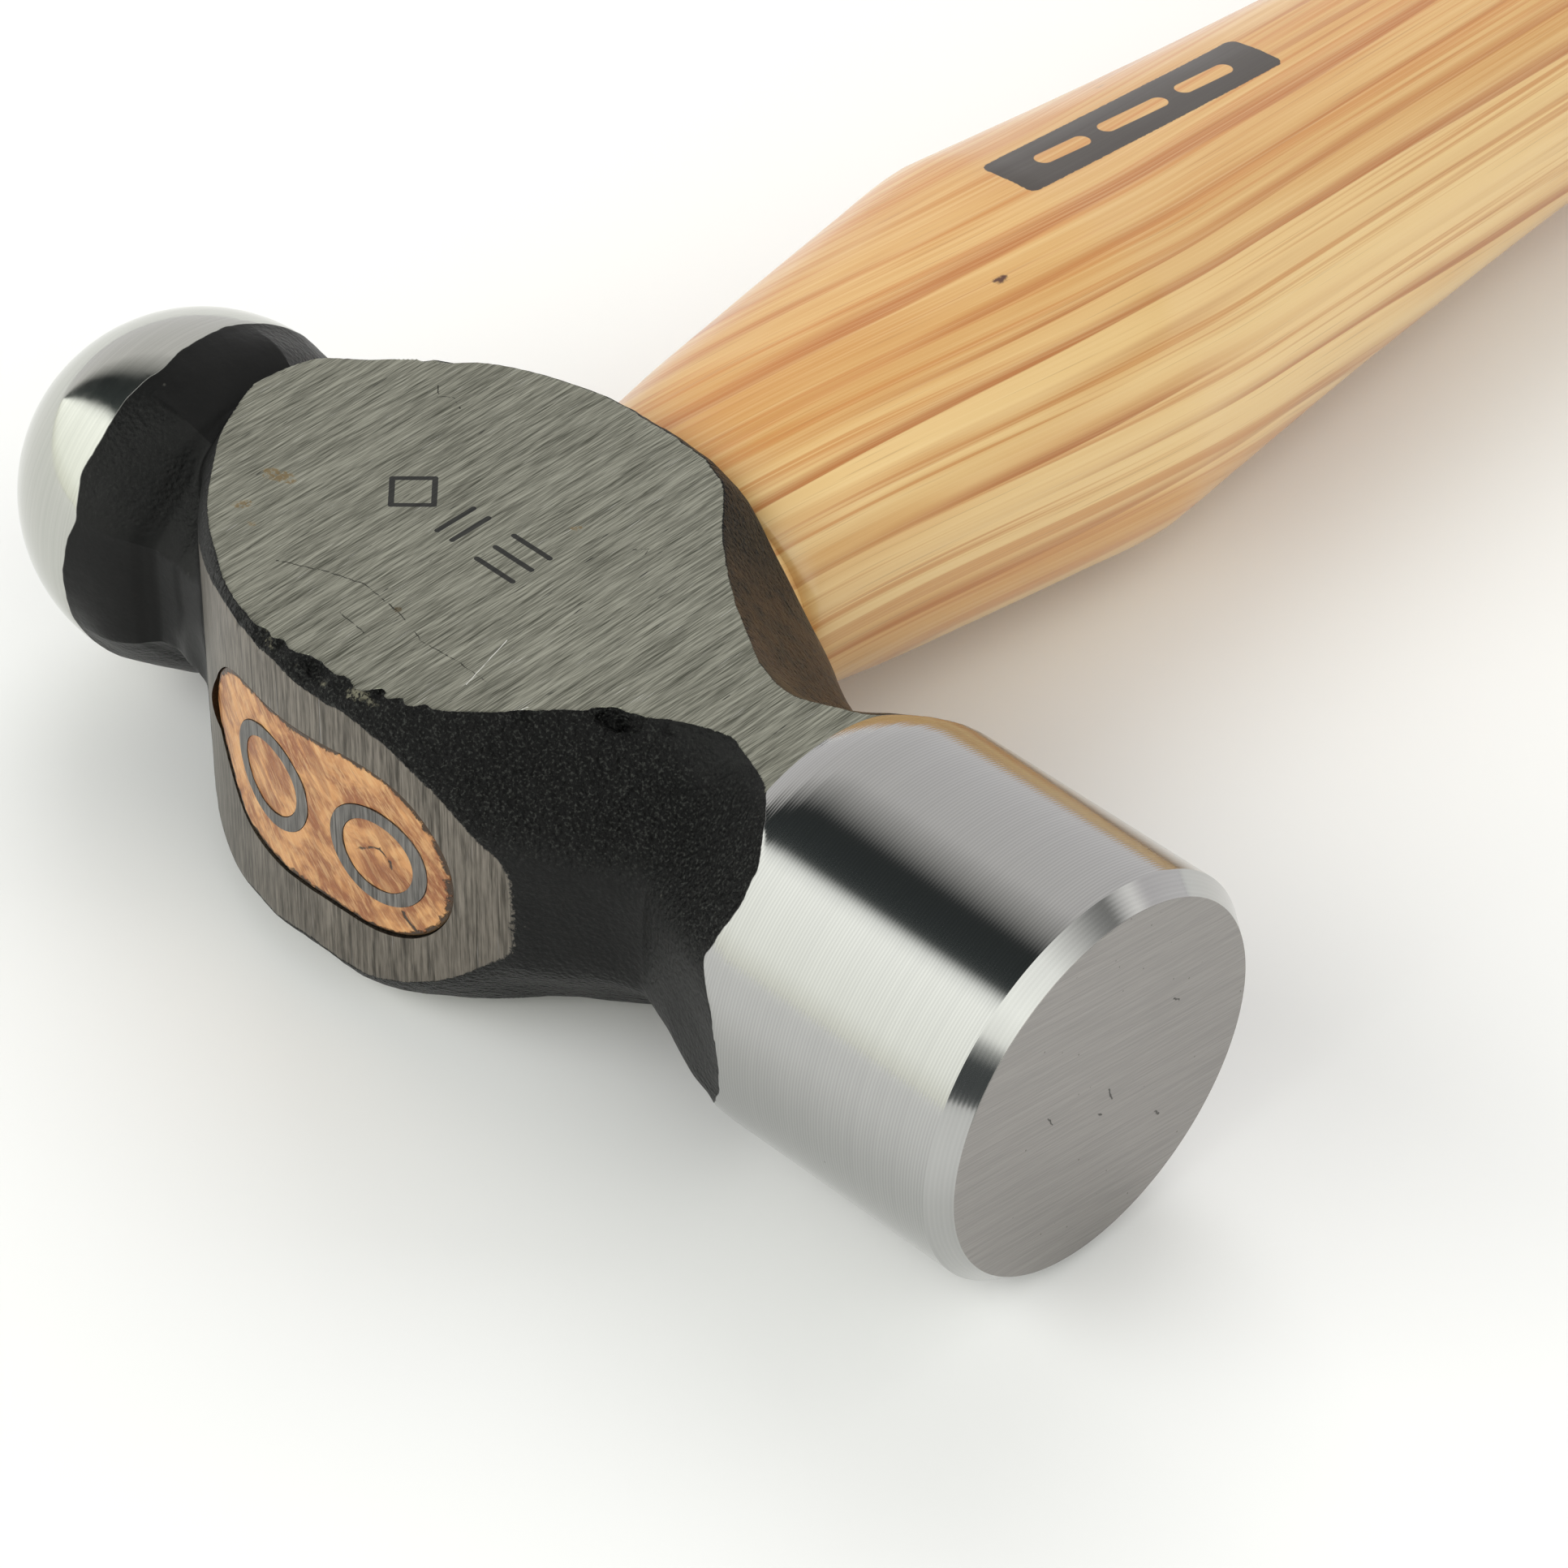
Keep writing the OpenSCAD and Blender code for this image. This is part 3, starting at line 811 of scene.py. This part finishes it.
def cheekFinish(tree, at):
    # ground along the handle, with rust, scratches and the printed mark
    turned = turnAbout(tree, "Z", at, 88)
    belt = useGroup(tree, grindLines, {"Coordinates": turned, "Fineness": 1.7})
    tone = fade(tree, belt["Lines"], 0.34, 0.66)
    tone = blendColour(tree, tone, (0.085, 0.087, 0.066), (0.45, 0.452, 0.375))
    tone = tint(tree, tone, belt["Scratches"], 0.7, (0.95, 0.95, 0.90))
    dark = noise(tree, turned, (0.35, 3.5, 3.5), 2.0, 0.5, (1, 5, 2))
    tone = blendColour(tree, fade(tree, dark, 0.70, 0.76, (0, 0.8)), tone, (0.03, 0.03, 0.028))
    rust = useGroup(tree, specks, {"Coordinates": at, "Spacing": 6.0, "Amount": 0.14})["Mask"]
    tone = tint(tree, tone, rust, 0.7, (0.10, 0.062, 0.02))
    stain = strokes(tree, at, onCheek(headMarks["rust"]), 0.25, 0.9, 0.7)
    stain = times(tree, stain, fade(tree, noise(tree, at, 2.5, 3.0, 0.7), 0.38, 0.55))
    tone = tint(tree, tone, stain, 0.85, (0.13, 0.085, 0.03))
    thin = strokes(tree, at, onCheek([(a, b, 0.02) for a, b in headMarks["scratches"]]), 0.07, 0.35, 0.8)
    thin = times(tree, thin, fade(tree, noise(tree, at, 1.4, 2.0, 0.6), 0.38, 0.5))
    tone = tint(tree, tone, thin, 0.85, (0.02, 0.02, 0.018))
    nick = strokes(tree, at, onCheek([(a, b, 0.015) for a, b in headMarks["bright"]]), 0.04, 0.15, 0.8)
    tone = blendColour(tree, nick, tone, (0.85, 0.85, 0.80))
    stamp = strokes(tree, at, onCheek([(a, b, 0.22) for a, b in headMarks["stamp"]]), 0.05, 0.06, 0.4)
    tone = tint(tree, tone, stamp, 0.95, (0.008, 0.008, 0.009))
    return tone, 0.42, times(tree, belt["Lines"], 0.030), larger(tree, stamp, stain)


def wallFinish(tree, at):
    # ground top and underside, with lines square to the cheeks
    belt = useGroup(tree, grindLines, {"Coordinates": turnAbout(tree, "Y", at, 90), "Fineness": 0.9})
    tone = fade(tree, belt["Lines"], 0.32, 0.68)
    tone = blendColour(tree, tone, (0.058, 0.053, 0.045), (0.29, 0.262, 0.225))
    tone = tint(tree, tone, belt["Scratches"], 0.5, (0.5, 0.49, 0.49))
    yellow = strokes(tree, at, [((18.6, -18.6, 9.2), (20.6, -18.0, 7.0), 0.5)], 1.2, 0.8, 0.8)
    tone = tint(tree, tone, yellow, 0.55, (0.20, 0.155, 0.045))
    return tone, 0.44, times(tree, belt["Lines"], 0.028)


def pollFinish(tree, at):
    # fine rings turned round the poll and its bevel; faint straight lines and dents on the face
    x = axes(tree, at)[0]
    groove = node(tree, "ShaderNodeTexWave", {"Vector": at, "Scale": 1.12, "Distortion": 0.25,
                                              "Detail": 1.0}, bands_direction="X").outputs["Fac"]
    groove = times(tree, groove, fade(tree, x, 63.0, 62.7, (0.35, 1)))
    band = noise(tree, at, (2.6, 0.02, 0.02), 3.0, 0.7)
    turned = blendColour(tree, band, (0.42, 0.42, 0.415), (0.50, 0.50, 0.49))
    turned = tint(tree, turned, groove, 0.40, (0.30, 0.30, 0.295))
    lines = noise(tree, turnAbout(tree, "X", at, 10), (1, 0.14, 8.0), 3.0, 0.7)
    face = blendColour(tree, fade(tree, lines, 0.3, 0.7), (0.295, 0.282, 0.272), (0.36, 0.343, 0.328))
    dents = [((head["faceX"], *a), (head["faceX"], *b), h) for a, b, h in headMarks["face"]]
    face = tint(tree, face, strokes(tree, at, dents, 0.08, 0.5, 0.7), 0.8, (0.03, 0.028, 0.026))
    onFace = fade(tree, x, 64.52, 64.58)
    tone = blendColour(tree, onFace, turned, face)
    pits = useGroup(tree, specks, {"Coordinates": at, "Spacing": 1.5, "Amount": 0.13})["Mask"]
    tone = tint(tree, tone, pits, 0.75, (0.10, 0.09, 0.08))
    height = blendValue(tree, onFace, times(tree, groove, 0.005), times(tree, lines, 0.008))
    return tone, blendValue(tree, onFace, 0.12, 0.42), height


def ballFinish(tree, at):
    rings = noise(tree, at, (5.0, 0.05, 0.05), 2.0, 0.6, (2, 0, 0))
    tone = blendColour(tree, rings, (0.41, 0.415, 0.385), (0.55, 0.555, 0.52))
    roughness = fade(tree, noise(tree, at, 0.4, 3.0, 0.6), 0.3, 0.7, (0.08, 0.15))
    return tone, roughness, times(tree, rings, 0.0015)


def headMaterial():
    material, tree, shader, at = newMaterial("worked steel and black paint")
    # ground borders are ragged; turned and polished ones are nearly clean
    ragged = {"cheekField": 1.0, "wallField": 1.0, "pollField": 0.08, "ballField": 0.08}
    edge = times(tree, minus(tree, noise(tree, at, 2.6, 4.0, 0.7), 0.5), 0.26)
    colour, roughness, height = paintFinish(tree, at)
    *cheek, printed = cheekFinish(tree, at)
    finishes = [cheek, wallFinish(tree, at), pollFinish(tree, at), ballFinish(tree, at)]
    masks = []
    for (name, loose), (tone, dullness, relief) in zip(ragged.items(), finishes):
        field = plus(tree, stored(tree, name), times(tree, edge, loose))
        mask = fade(tree, field, -0.02, 0.03)
        masks.append(mask)
        colour = blendColour(tree, mask, colour, tone)
        roughness = blendValue(tree, mask, roughness, dullness)
        height = blendValue(tree, mask, height, relief)
    colour = blendColour(tree, stored(tree, "eyeWall"), colour, (0.02, 0.017, 0.014))
    feed(tree, shader.inputs["Base Color"], colour)
    feed(tree, shader.inputs["Roughness"], roughness)
    metal = larger(tree, larger(tree, masks[0], masks[1]), larger(tree, masks[2], masks[3]))
    metal = times(tree, metal, minus(tree, 1.0, times(tree, printed, masks[0])))
    feed(tree, shader.inputs["Metallic"], metal)
    feed(tree, shader.inputs["Specular IOR Level"], blendValue(tree, metal, 0.15, 0.5))
    bump = node(tree, "ShaderNodeBump", {"Height": height, "Distance": 0.001, "Strength": 1.0})
    feed(tree, shader.inputs["Normal"], bump.outputs[0])
    return material


woodMarks = {
    # a plain printed bar on the upper face of the handle, with bare stripes in it
    "bar": ((-3.0, 79.0), (3.1, 16.4), 0.9),
    "stripes": [
        ((-3.2, 67.5), (-3.0, 72.0), 0.8), ((-3.1, 75.5), (-2.9, 82.0), 0.8),
        ((-3.0, 85.5), (-2.8, 90.5), 0.8)],
    "flecks": [((4.9, 52.7, 15.4), (5.2, 53.5, 15.4), 0.12), ((11.4, 21.3, 10.5), (11.5, 21.8, 10.5), 0.15)],
    "cracks_and_gap_shade": [
        ((10.6, -20.3, -4.4), (12.2, -20, -6.4), 0.10), ((-8.6, -20, -1.6), (-9.4, -20, -3.6), 0.10),
        ((12.6, -20, 1.2), (13.9, -20, 2.6), 0.06), ((5.6, -20.6, -0.6), (8.4, -20.6, 1.2), 0.05),
        ((8.4, -20.6, 1.2), (10.8, -20.4, -1.4), 0.05), ((-11.2, -19.6, 1.5), (-9.2, -20, 2.3), 0.05)],
}


def printedBar(tree, at):
    # a rounded rectangle seen from above
    x, y, z = axes(tree, at)
    (middleX, middleY), (halfX, halfY), corner = woodMarks["bar"]
    flat = node(tree, "ShaderNodeCombineXYZ", {"X": x, "Y": y}).outputs[0]
    offX = minus(tree, calc(tree, "ABSOLUTE", minus(tree, x, middleX)), halfX - corner)
    offY = minus(tree, calc(tree, "ABSOLUTE", minus(tree, y, middleY)), halfY - corner)
    offX, offY = larger(tree, offX, 0.0), larger(tree, offY, 0.0)
    out = calc(tree, "SQRT", plus(tree, times(tree, offX, offX), times(tree, offY, offY)))
    worn = times(tree, minus(tree, noise(tree, at, 2.0, 3.0, 0.7), 0.5), 0.25)
    bar = fade(tree, plus(tree, out, worn), corner + 0.06, corner - 0.06)
    bar = times(tree, bar, calc(tree, "GREATER_THAN", z, 0.0))
    stripes = strokes(tree, flat, [((*a, 0), (*b, 0), h) for a, b, h in woodMarks["stripes"]], 0.12)
    return times(tree, bar, minus(tree, 1.0, stripes))


def endFinish(tree, at):
    # bare end grain in the eye: blotchy, darker, matt
    blotch = noise(tree, at, 0.24, 4.0, 0.60, distort=0.6)
    endTone = blendColour(tree, fade(tree, blotch, 0.40, 0.60), (0.24, 0.080, 0.024), (0.52, 0.255, 0.095))
    turned = turnAbout(tree, "Y", at, 38)
    weave = noise(tree, turned, (2.4, 1, 0.5), 3.0, 0.7)
    endTone = blendColour(tree, fade(tree, weave, 0.44, 0.64, (0, 0.5)), endTone, (0.62, 0.385, 0.175))
    layer = fade(tree, noise(tree, turned, (0.9, 1, 0.12), 2.0, 0.5, (3, 1, 6)), 0.55, 0.60)
    endTone = tint(tree, endTone, layer, 0.4, (0.20, 0.066, 0.020))
    cracks_and_gap_shade = strokes(tree, at, woodMarks["cracks_and_gap_shade"], 0.14, 0.9, 0.9)
    # painted shade: a ragged dark band on the end grain along the eye's edge widens the dark gap between
    # wood and steel; it joins the real cracks in one mask
    rim_for_gap_shade = plus(tree, stored(tree, "rim"), times(tree, noise(tree, at, 1.1, 3.0, 0.7), 1.4))
    cracks_and_gap_shade = larger(tree, cracks_and_gap_shade, fade(tree, rim_for_gap_shade, 1.25, 1.5))
    endTone = blendColour(tree, cracks_and_gap_shade, endTone, (0.035, 0.018, 0.008))
    return endTone, weave, cracks_and_gap_shade


def woodMaterial():
    material, tree, shader, at = newMaterial("lacquered ash")
    x, y, z = axes(tree, at)
    # growth layers stand nearly on edge; across counts through them, deep runs along each one
    across = minus(tree, times(tree, x, 0.79), times(tree, z, 0.61))
    across = minus(tree, across, fade(tree, y, 12, 74, (0, 5.0)))
    deep = plus(tree, times(tree, x, 0.61), times(tree, z, 0.79))
    grain = node(tree, "ShaderNodeCombineXYZ", {"X": across, "Y": y, "Z": deep}).outputs[0]
    slow = noise(tree, grain, (0.06, 0.010, 0.02), 2.0, 0.5)
    sway = noise(tree, grain, (0.35, 0.014, 0.05), 2.0, 0.5, (4, 1, 2))
    uneven = noise(tree, grain, (0.15, 0.004, 0.02), 1.0, 0.5, (2, 8, 4))
    depth = plus(tree, across, times(tree, slow, 3.5))
    depth = plus(tree, depth, times(tree, sway, 0.9))
    depth = plus(tree, depth, times(tree, uneven, 3.5))
    year = calc(tree, "FRACT", calc(tree, "DIVIDE", depth, 3.3))
    late = times(tree, fade(tree, year, 0.55, 0.93), fade(tree, year, 1.0, 0.96))
    strong = fade(tree, noise(tree, grain, (0.25, 0.008, 0.05), 2.0, 0.6, (5, 5, 1)),
                  0.38, 0.58, (0.15, 1.0))
    fibre = noise(tree, grain, (5.0, 0.025, 0.10), 3.0, 0.6)
    streaks = noise(tree, grain, (1.5, 0.007, 0.04), 3.0, 0.6, (7, 3, 2))
    broad = noise(tree, grain, (0.20, 0.008, 0.05), 3.0, 0.6, (9, 2, 5))
    base = blendColour(tree, fade(tree, broad, 0.38, 0.62), (0.63, 0.325, 0.098), (0.80, 0.555, 0.245))
    # painted shade: a darker orange where across falls below zero, towards the ball side and top of the
    # handle, and further round towards the butt
    base = blendColour(tree, fade(tree, across, 3, -7, (0, 0.55)), base, (0.52, 0.245, 0.055))
    base = blendColour(tree, fade(tree, streaks, 0.50, 0.62, (0, 0.70)), base, (0.54, 0.215, 0.046))
    base = blendColour(tree, times(tree, times(tree, late, strong), 0.92), base,
                       (0.43, 0.140, 0.022))
    base = blendColour(tree, fade(tree, fibre, 0.40, 0.75, (0, 0.26)), base, (0.86, 0.66, 0.34))
    pores = noise(tree, grain, (7.0, 0.045, 0.25), 2.0, 0.5, (3, 3, 8))
    base = blendColour(tree, fade(tree, pores, 0.62, 0.72, (0, 0.30)), base, (0.34, 0.14, 0.04))
    flecks = useGroup(tree, specks, {"Coordinates": stretch(tree, at, (1, 0.35, 1)), "Spacing": 5.0,
                                     "Amount": 0.12})["Mask"]
    base = tint(tree, base, flecks, 0.45, (0.12, 0.07, 0.04))
    burnt = strokes(tree, at, woodMarks["flecks"], 0.30, 0.9, 0.6)
    base = blendColour(tree, burnt, base, (0.09, 0.03, 0.012))

    base = tint(tree, base, printedBar(tree, at), 0.97, (0.010, 0.0095, 0.010))
    endTone, weave, cracks_and_gap_shade = endFinish(tree, at)
    ends = stored(tree, "endGrain")
    base = blendColour(tree, ends, base, endTone)
    feed(tree, shader.inputs["Base Color"], base)
    feed(tree, shader.inputs["Roughness"], fade(tree, fibre, 0.2, 0.8, (0.42, 0.34)))
    coat = times(tree, minus(tree, 1.0, ends), 0.55)
    feed(tree, shader.inputs["Coat Weight"], coat)
    shader.inputs["Coat Roughness"].default_value = 0.14
    height = plus(tree, times(tree, fibre, 0.0035), times(tree, late, -0.001))
    height = plus(tree, height, times(tree, times(tree, weave, ends), 0.10))
    height = minus(tree, height, times(tree, times(tree, cracks_and_gap_shade, ends), 0.15))
    bump = node(tree, "ShaderNodeBump", {"Height": height, "Distance": 0.001, "Strength": 0.8})
    feed(tree, shader.inputs["Normal"], bump.outputs[0])
    return material


def wedgeMaterial():
    material, tree, shader, at = newMaterial("ground wedge steel")
    turnZ = turnAbout(tree, "Y", at, 90)
    marks = useGroup(tree, grindLines, {"Coordinates": turnZ, "Fineness": 0.9})
    tone = fade(tree, marks["Lines"], 0.32, 0.68)
    tone = blendColour(tree, tone, (0.075, 0.073, 0.070), (0.30, 0.29, 0.275))
    dirt = useGroup(tree, specks, {"Coordinates": at, "Spacing": 1.6, "Amount": 0.12})["Mask"]
    tone = tint(tree, tone, dirt, 0.6, (0.06, 0.045, 0.03))
    feed(tree, shader.inputs["Base Color"], tone)
    shader.inputs["Metallic"].default_value = 1.0
    feed(tree, shader.inputs["Roughness"], fade(tree, marks["Lines"], 0.3, 0.7, (0.38, 0.5)))
    bump = node(tree, "ShaderNodeBump", {
        "Height": times(tree, marks["Lines"], 0.025), "Distance": 0.001})
    feed(tree, shader.inputs["Normal"], bump.outputs[0])
    return material


forgedHead.data.materials.append(headMaterial())
ashHandle.data.materials.append(woodMaterial())
wedgeSteel = wedgeMaterial()
for ring in ringWedges.values():
    ring.data.materials.append(wedgeSteel)
print("materials made")

# ---- each piece takes its place on the body ----

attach(forgedHead, "root")
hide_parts("head")
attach(ashHandle, "root")
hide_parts("handle")
for name, ring in ringWedges.items():
    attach(ring, "root")
    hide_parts(name)

# ---- floor and light ----

studio = {
    "floor": 6.0, "floorColour": (0.90, 0.90, 0.905),
    # brightness all round the head's axis: degrees up from the front, colour
    "round": [
        (-90, (0.70, 0.68, 0.71)), (-20, (0.90, 0.89, 0.86)), (-6, (1.10, 1.10, 0.95)),
        (14, (1.55, 1.58, 1.46)), (52, (1.78, 1.81, 1.71)), (58, (1.50, 1.53, 1.46)),
        (64, (0.05, 0.06, 0.06)), (88, (0.04, 0.045, 0.045)), (100, (0.45, 0.445, 0.43)),
        (116, (0.84, 0.825, 0.81)), (180, (0.90, 0.885, 0.89))],
    # the same beyond the face, with a dark gap low at the front and a thin one behind
    "faceEnd": [
        (-90, (0.60, 0.59, 0.57)), (-12, (0.70, 0.70, 0.67)), (-4, (0.32, 0.33, 0.32)),
        (4, (0.10, 0.11, 0.11)), (24, (0.09, 0.10, 0.10)), (33, (0.55, 0.56, 0.53)),
        (40, (1.50, 1.52, 1.43)), (60, (1.75, 1.78, 1.68)), (92, (1.55, 1.57, 1.50)),
        (114, (0.85, 0.85, 0.82)), (127, (0.42, 0.42, 0.41)), (136, (0.28, 0.28, 0.27)),
        (143, (0.90, 0.89, 0.87)), (150, (1.30, 1.29, 1.25)), (158, (0.80, 0.78, 0.79)),
        (180, (0.85, 0.83, 0.84))]}


def addFloor():
    half, low = studio["floor"] / 2, cadBox[0].z
    floor = meshObject("studioFloor", [(-half, -half, low), (half, -half, low), (half, half, low),
                                       (-half, half, low)], [(0, 1, 2, 3)])
    material, tree, shader, at = newMaterial("pale floor")
    tone = blendColour(tree, noise(tree, at, 0.02, 2.0), studio["floorColour"], (0.88, 0.88, 0.88))
    feed(tree, shader.inputs["Base Color"], tone)
    shader.inputs["Roughness"].default_value = 0.9
    shader.inputs["Specular IOR Level"].default_value = 0.1
    floor.data.materials.append(material)


def addSky():
    # soft surround: a bright front, a dark gap overhead, a quieter back
    world = bpy.data.worlds.new("studio")
    world.use_nodes = True
    bpy.context.scene.world = world
    tree = world.node_tree
    background = tree.nodes["Background"]
    direction = node(tree, "ShaderNodeTexCoord").outputs["Generated"]
    split = node(tree, "ShaderNodeSeparateXYZ", {"Vector": direction})
    front = times(tree, split.outputs[1], -1.0)
    turn = calc(tree, "DEGREES", calc(tree, "ARCTAN2", split.outputs[2], front))
    share = node(tree, "ShaderNodeMapRange", {"Value": turn, "From Min": -90.0, "From Max": 180.0})

    def around(stops):
        ramp = node(tree, "ShaderNodeValToRGB", {"Fac": share.outputs["Result"]})
        while len(ramp.color_ramp.elements) < len(stops):
            ramp.color_ramp.elements.new(1.0)
        for stop, (degrees, colour) in zip(ramp.color_ramp.elements, stops):
            stop.position = (degrees + 90) / 270
            stop.color = (*colour, 1)
        return ramp.outputs["Color"]

    beyond = fade(tree, split.outputs[0], 0.20, 0.45)
    feed(tree, background.inputs["Color"],
         blendColour(tree, beyond, around(studio["round"]), around(studio["faceEnd"])))


def addLight(name, place, aim, size, power, colour=(1, 1, 1)):
    data = bpy.data.lights.new(name, "AREA")
    data.shape = "RECTANGLE"
    data.size, data.size_y = size
    data.energy = power
    data.color = colour
    lamp = bpy.data.objects.new(name, data)
    bpy.context.scene.collection.objects.link(lamp)
    lamp.location = place
    lamp.rotation_mode = "QUATERNION"
    lamp.rotation_quaternion = (Vector(aim) - Vector(place)).to_track_quat("-Z", "Y")
    lamp.visible_glossy = False


addFloor()
addSky()
addLight("frontSoftbox", (-0.5, -1.3, 0.9), (0, 0, 0), (1.6, 0.8), 8)
addLight("rearSoftbox", (-0.9, 1.2, 1.3), (0, 0.1, 0), (1.4, 0.9), 11)
bpy.context.scene.view_settings.view_transform = "Standard"
print("floor and light set")
